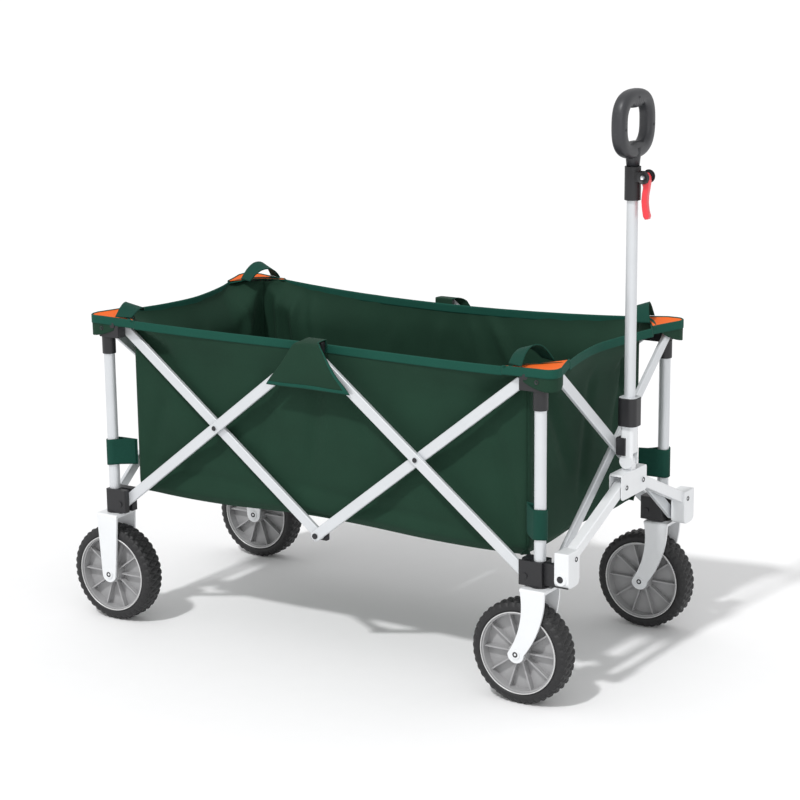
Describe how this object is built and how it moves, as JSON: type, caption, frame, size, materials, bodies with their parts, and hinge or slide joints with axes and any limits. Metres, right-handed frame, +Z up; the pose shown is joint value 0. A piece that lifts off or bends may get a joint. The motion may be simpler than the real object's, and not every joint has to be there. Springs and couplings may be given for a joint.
{
  "type": "folding camp wagon",
  "caption": "Folding camp wagon: a fabric bag hung in a scissor frame on wheels, with front casters and a telescoping pull handle.",
  "frame": {"origin": "on the ground under the middle of the four corner posts, 6 mm in front of the bounding box's bottom centre", "axes": "+X along the wagon towards the handle end, +Z up; -Y is the right side"},
  "size_m": [1.0512, 0.511, 0.994],
  "materials": {
    "painted_steel": "satin light silver paint",
    "black_nylon": "matte black moulded nylon",
    "rubber": "matte black rubber",
    "grey_plastic": "grey moulded plastic",
    "polyester": "dark green woven polyester",
    "fibreboard": "fabric-covered board",
    "red_plastic": "red moulded plastic",
    "grip_rubber": "dark grey soft-touch plastic",
    "bare_steel": "plated steel"
  },
  "bodies": {
    "frame_centre_right": {"bottom_hub_right": "black_nylon"},
    "right_front_fall": {"side_bar_right_front_fall": "painted_steel"},
    "right_front_rise": {"side_bar_right_front_rise": "painted_steel"},
    "right_rear_fall": {"side_bar_right_rear_fall": "painted_steel"},
    "right_rear_rise": {"side_bar_right_rear_rise": "painted_steel"},
    "front_right_corner": {"post_front_right": "painted_steel", "lower_bracket_front_right": "black_nylon", "clevis_right": "painted_steel"},
    "front_right_top": {"top_bracket_front_right": "black_nylon", "bag_end_front": "polyester"},
    "rear_right_corner": {"post_rear_right": "painted_steel", "lower_bracket_rear_right": "black_nylon", "fork_rear_right": "painted_steel"},
    "rear_right_top": {"top_bracket_rear_right": "black_nylon", "bag_end_rear": "polyester"},
    "top_centre_right": {"top_hub_right": "black_nylon", "bag_side_right": "polyester"},
    "front_inner": {"end_bar_front_inner": "painted_steel"},
    "front_outer": {"end_bar_front_outer": "painted_steel"},
    "front_left_corner": {"post_front_left": "painted_steel", "lower_bracket_front_left": "black_nylon", "clevis_left": "painted_steel"},
    "front_left_top": {"top_bracket_front_left": "black_nylon"},
    "left_front_rise": {"side_bar_left_front_rise": "painted_steel"},
    "left_front_fall": {"side_bar_left_front_fall": "painted_steel"},
    "rear_inner": {"end_bar_rear_inner": "painted_steel"},
    "rear_outer": {"end_bar_rear_outer": "painted_steel"},
    "rear_left_corner": {"post_rear_left": "painted_steel", "lower_bracket_rear_left": "black_nylon", "fork_rear_left": "painted_steel"},
    "rear_left_top": {"top_bracket_rear_left": "black_nylon"},
    "left_rear_rise": {"side_bar_left_rear_rise": "painted_steel"},
    "left_rear_fall": {"side_bar_left_rear_fall": "painted_steel"},
    "top_centre_left": {"top_hub_left": "black_nylon", "bag_side_left": "polyester"},
    "bottom_centre_left": {"bottom_hub_left": "black_nylon"},
    "floor_front": {"bag_floor_front": "polyester", "floor_boards_front": "fibreboard"},
    "floor_rear": {"bag_floor_rear": "polyester", "floor_boards_rear": "fibreboard"},
    "front_right_wheel": {"wheel_hub_front_right": "grey_plastic", "tyre_front_right": "rubber"},
    "front_right_caster": {"fork_front_right": "painted_steel"},
    "front_left_wheel": {"wheel_hub_front_left": "grey_plastic", "tyre_front_left": "rubber"},
    "front_left_caster": {"fork_front_left": "painted_steel"},
    "rear_right_wheel": {"wheel_hub_rear_right": "grey_plastic", "tyre_rear_right": "rubber"},
    "rear_left_wheel": {"wheel_hub_rear_left": "grey_plastic", "tyre_rear_left": "rubber"},
    "handle_clip": {"handle_clip": "black_nylon"},
    "handle_base": {"handle_base": "painted_steel"},
    "link_right": {"link_arm_right": "painted_steel"},
    "link_left": {"link_arm_left": "painted_steel"},
    "handle": {"handle_base_tube": "painted_steel", "handle_outer_tube": "painted_steel", "handle_neck_clamp": "black_nylon"},
    "grip": {"handle_inner_tube": "bare_steel", "handle_grip": "grip_rubber"},
    "release_lever": {"release_lever": "red_plastic"}
  },
  "joints": [
    {"name": "frame_fold", "type": "hinge", "parent": "frame_centre_right", "child": "right_front_fall", "pos_m": [0, -0.226, 0.222], "axis": [0, -1, 0], "range_deg": [0, 34], "deforming": ["bag_end_front", "bag_end_rear", "bag_floor_front", "bag_floor_rear", "bag_side_left", "bag_side_right", "floor_boards_front", "floor_boards_rear"]},
    {"name": "right_rear_fall_pivot", "type": "hinge", "parent": "frame_centre_right", "child": "right_rear_fall", "pos_m": [0, -0.226, 0.222], "axis": [0, 1, 0], "range_deg": [0, 34]},
    {"name": "right_front_crossing", "type": "hinge", "parent": "right_front_fall", "child": "right_front_rise", "pos_m": [0.21075, -0.226, 0.388], "axis": [0, 1, 0], "range_deg": [0, 68]},
    {"name": "front_right_lower_pivot", "type": "hinge", "parent": "right_front_rise", "child": "front_right_corner", "pos_m": [0.4215, -0.226, 0.222], "axis": [0, -1, 0], "range_deg": [0, 34]},
    {"name": "front_right_top_pivot", "type": "hinge", "parent": "right_front_fall", "child": "front_right_top", "pos_m": [0.4215, -0.226, 0.554], "axis": [0, 1, 0], "range_deg": [0, 34]},
    {"name": "right_rear_crossing", "type": "hinge", "parent": "right_rear_fall", "child": "right_rear_rise", "pos_m": [-0.21075, -0.226, 0.388], "axis": [0, -1, 0], "range_deg": [0, 68]},
    {"name": "rear_right_lower_pivot", "type": "hinge", "parent": "right_rear_rise", "child": "rear_right_corner", "pos_m": [-0.4215, -0.226, 0.222], "axis": [0, 1, 0], "range_deg": [0, 34]},
    {"name": "rear_right_top_pivot", "type": "hinge", "parent": "right_rear_fall", "child": "rear_right_top", "pos_m": [-0.4215, -0.226, 0.554], "axis": [0, -1, 0], "range_deg": [0, 34]},
    {"name": "right_top_centre_pivot", "type": "hinge", "parent": "right_rear_rise", "child": "top_centre_right", "pos_m": [0, -0.226, 0.554], "axis": [0, 1, 0], "range_deg": [0, 34]},
    {"name": "front_end_lower_pivot", "type": "hinge", "parent": "front_right_corner", "child": "front_inner", "pos_m": [0.4573, -0.21075, 0.222], "axis": [1, 0, 0], "range_deg": [0, 34]},
    {"name": "front_end_crossing", "type": "hinge", "parent": "front_inner", "child": "front_outer", "pos_m": [0.4573, 0, 0.388], "axis": [-1, 0, 0], "range_deg": [0, 68]},
    {"name": "front_left_lower_end_pivot", "type": "hinge", "parent": "front_outer", "child": "front_left_corner", "pos_m": [0.4661, 0.21075, 0.222], "axis": [1, 0, 0], "range_deg": [0, 34]},
    {"name": "front_left_top_end_pivot", "type": "hinge", "parent": "front_inner", "child": "front_left_top", "pos_m": [0.4573, 0.21075, 0.554], "axis": [-1, 0, 0], "range_deg": [0, 34]},
    {"name": "left_front_lower_pivot", "type": "hinge", "parent": "front_left_corner", "child": "left_front_rise", "pos_m": [0.4215, 0.226, 0.222], "axis": [0, 1, 0], "range_deg": [0, 34]},
    {"name": "left_front_crossing", "type": "hinge", "parent": "left_front_rise", "child": "left_front_fall", "pos_m": [0.21075, 0.226, 0.388], "axis": [0, -1, 0], "range_deg": [0, 68]},
    {"name": "rear_end_lower_pivot", "type": "hinge", "parent": "rear_right_corner", "child": "rear_inner", "pos_m": [-0.4573, -0.21075, 0.222], "axis": [1, 0, 0], "range_deg": [0, 34]},
    {"name": "rear_end_crossing", "type": "hinge", "parent": "rear_inner", "child": "rear_outer", "pos_m": [-0.4573, 0, 0.388], "axis": [-1, 0, 0], "range_deg": [0, 68]},
    {"name": "rear_left_lower_end_pivot", "type": "hinge", "parent": "rear_outer", "child": "rear_left_corner", "pos_m": [-0.4661, 0.21075, 0.222], "axis": [1, 0, 0], "range_deg": [0, 34]},
    {"name": "rear_left_top_end_pivot", "type": "hinge", "parent": "rear_inner", "child": "rear_left_top", "pos_m": [-0.4573, 0.21075, 0.554], "axis": [-1, 0, 0], "range_deg": [0, 34]},
    {"name": "left_rear_lower_pivot", "type": "hinge", "parent": "rear_left_corner", "child": "left_rear_rise", "pos_m": [-0.4215, 0.226, 0.222], "axis": [0, -1, 0], "range_deg": [0, 34]},
    {"name": "left_rear_crossing", "type": "hinge", "parent": "left_rear_rise", "child": "left_rear_fall", "pos_m": [-0.21075, 0.226, 0.388], "axis": [0, 1, 0], "range_deg": [0, 68]},
    {"name": "left_top_centre_pivot", "type": "hinge", "parent": "left_rear_rise", "child": "top_centre_left", "pos_m": [0, 0.226, 0.554], "axis": [0, 1, 0], "range_deg": [0, 34]},
    {"name": "left_bottom_centre_pivot", "type": "hinge", "parent": "left_rear_fall", "child": "bottom_centre_left", "pos_m": [0, 0.226, 0.222], "axis": [0, -1, 0], "range_deg": [0, 34]},
    {"name": "front_floor_lift", "type": "hinge", "parent": "front_right_corner", "child": "floor_front", "pos_m": [0.4065, -0.226, 0.251], "axis": [0, 1, 0], "range_deg": [0, 61.2]},
    {"name": "rear_floor_lift", "type": "hinge", "parent": "rear_right_corner", "child": "floor_rear", "pos_m": [-0.4065, -0.226, 0.251], "axis": [0, -1, 0], "range_deg": [0, 61.2]},
    {"name": "front_right_swivel", "type": "hinge", "parent": "front_right_corner", "child": "front_right_caster", "pos_m": [0.4425, -0.226, 0.2], "axis": [0, 0, 1], "continuous": true},
    {"name": "front_right_wheel_spin", "type": "hinge", "parent": "front_right_caster", "child": "front_right_wheel", "pos_m": [0.4125, -0.226, 0.089], "axis": [0, 1, 0], "continuous": true},
    {"name": "front_left_swivel", "type": "hinge", "parent": "front_left_corner", "child": "front_left_caster", "pos_m": [0.4425, 0.226, 0.2], "axis": [0, 0, 1], "continuous": true},
    {"name": "front_left_wheel_spin", "type": "hinge", "parent": "front_left_caster", "child": "front_left_wheel", "pos_m": [0.4125, 0.226, 0.089], "axis": [0, 1, 0], "continuous": true},
    {"name": "rear_right_wheel_spin", "type": "hinge", "parent": "rear_right_corner", "child": "rear_right_wheel", "pos_m": [-0.4425, -0.226, 0.089], "axis": [0, 1, 0], "continuous": true},
    {"name": "rear_left_wheel_spin", "type": "hinge", "parent": "rear_left_corner", "child": "rear_left_wheel", "pos_m": [-0.4425, 0.226, 0.089], "axis": [0, 1, 0], "continuous": true},
    {"name": "handle_clip_pivot", "type": "hinge", "parent": "front_outer", "child": "handle_clip", "pos_m": [0.4661, 0, 0.388], "axis": [1, 0, 0], "range_deg": [0, 34]},
    {"name": "handle_base_lift", "type": "slide", "parent": "handle_clip", "child": "handle_base", "axis": [0, 0, 1], "range_m": [0, 0.0215]},
    {"name": "link_right_pivot", "type": "hinge", "parent": "front_right_corner", "child": "link_right", "pos_m": [0.4865, -0.209, 0.254], "axis": [1, 0, 0], "range_deg": [0, 51.92]},
    {"name": "link_left_pivot", "type": "hinge", "parent": "front_left_corner", "child": "link_left", "pos_m": [0.4865, 0.209, 0.254], "axis": [-1, 0, 0], "range_deg": [0, 51.92]},
    {"name": "handle_tilt", "type": "hinge", "parent": "handle_base", "child": "handle", "pos_m": [0.4875, 0, 0.37], "axis": [0, 1, 0], "range_deg": [0, 85]},
    {"name": "handle_extend", "type": "slide", "parent": "handle", "child": "grip", "axis": [0, 0, 1], "range_m": [0, 0.24]},
    {"name": "lever_release", "type": "hinge", "parent": "handle", "child": "release_lever", "pos_m": [0.5115, 0, 0.85], "axis": [0, 1, 0], "range_deg": [-80, 0]}
  ],
  "couplings": [
    {"joint": "right_rear_fall_pivot", "follows": "frame_fold", "ratio": 1},
    {"joint": "right_front_crossing", "follows": "frame_fold", "ratio": 2},
    {"joint": "front_right_lower_pivot", "follows": "frame_fold", "ratio": 1},
    {"joint": "front_right_top_pivot", "follows": "frame_fold", "ratio": 1},
    {"joint": "right_rear_crossing", "follows": "frame_fold", "ratio": 2},
    {"joint": "rear_right_lower_pivot", "follows": "frame_fold", "ratio": 1},
    {"joint": "rear_right_top_pivot", "follows": "frame_fold", "ratio": 1},
    {"joint": "right_top_centre_pivot", "follows": "frame_fold", "ratio": 1},
    {"joint": "front_end_lower_pivot", "follows": "frame_fold", "ratio": 1},
    {"joint": "front_end_crossing", "follows": "frame_fold", "ratio": 2},
    {"joint": "front_left_lower_end_pivot", "follows": "frame_fold", "ratio": 1},
    {"joint": "front_left_top_end_pivot", "follows": "frame_fold", "ratio": 1},
    {"joint": "left_front_lower_pivot", "follows": "frame_fold", "ratio": 1},
    {"joint": "left_front_crossing", "follows": "frame_fold", "ratio": 2},
    {"joint": "rear_end_lower_pivot", "follows": "frame_fold", "ratio": 1},
    {"joint": "rear_end_crossing", "follows": "frame_fold", "ratio": 2},
    {"joint": "rear_left_lower_end_pivot", "follows": "frame_fold", "ratio": 1},
    {"joint": "rear_left_top_end_pivot", "follows": "frame_fold", "ratio": 1},
    {"joint": "left_rear_lower_pivot", "follows": "frame_fold", "ratio": 1},
    {"joint": "left_rear_crossing", "follows": "frame_fold", "ratio": 2},
    {"joint": "left_top_centre_pivot", "follows": "frame_fold", "ratio": 1},
    {"joint": "left_bottom_centre_pivot", "follows": "frame_fold", "ratio": 1},
    {"joint": "front_floor_lift", "follows": "frame_fold", "ratio": 1.8},
    {"joint": "rear_floor_lift", "follows": "frame_fold", "ratio": 1.8},
    {"joint": "handle_clip_pivot", "follows": "frame_fold", "ratio": 1},
    {"joint": "handle_base_lift", "follows": "frame_fold", "m_per_rad": 0.03562},
    {"joint": "link_right_pivot", "follows": "frame_fold", "ratio": 1.527},
    {"joint": "link_left_pivot", "follows": "frame_fold", "ratio": 1.527}
  ]
}
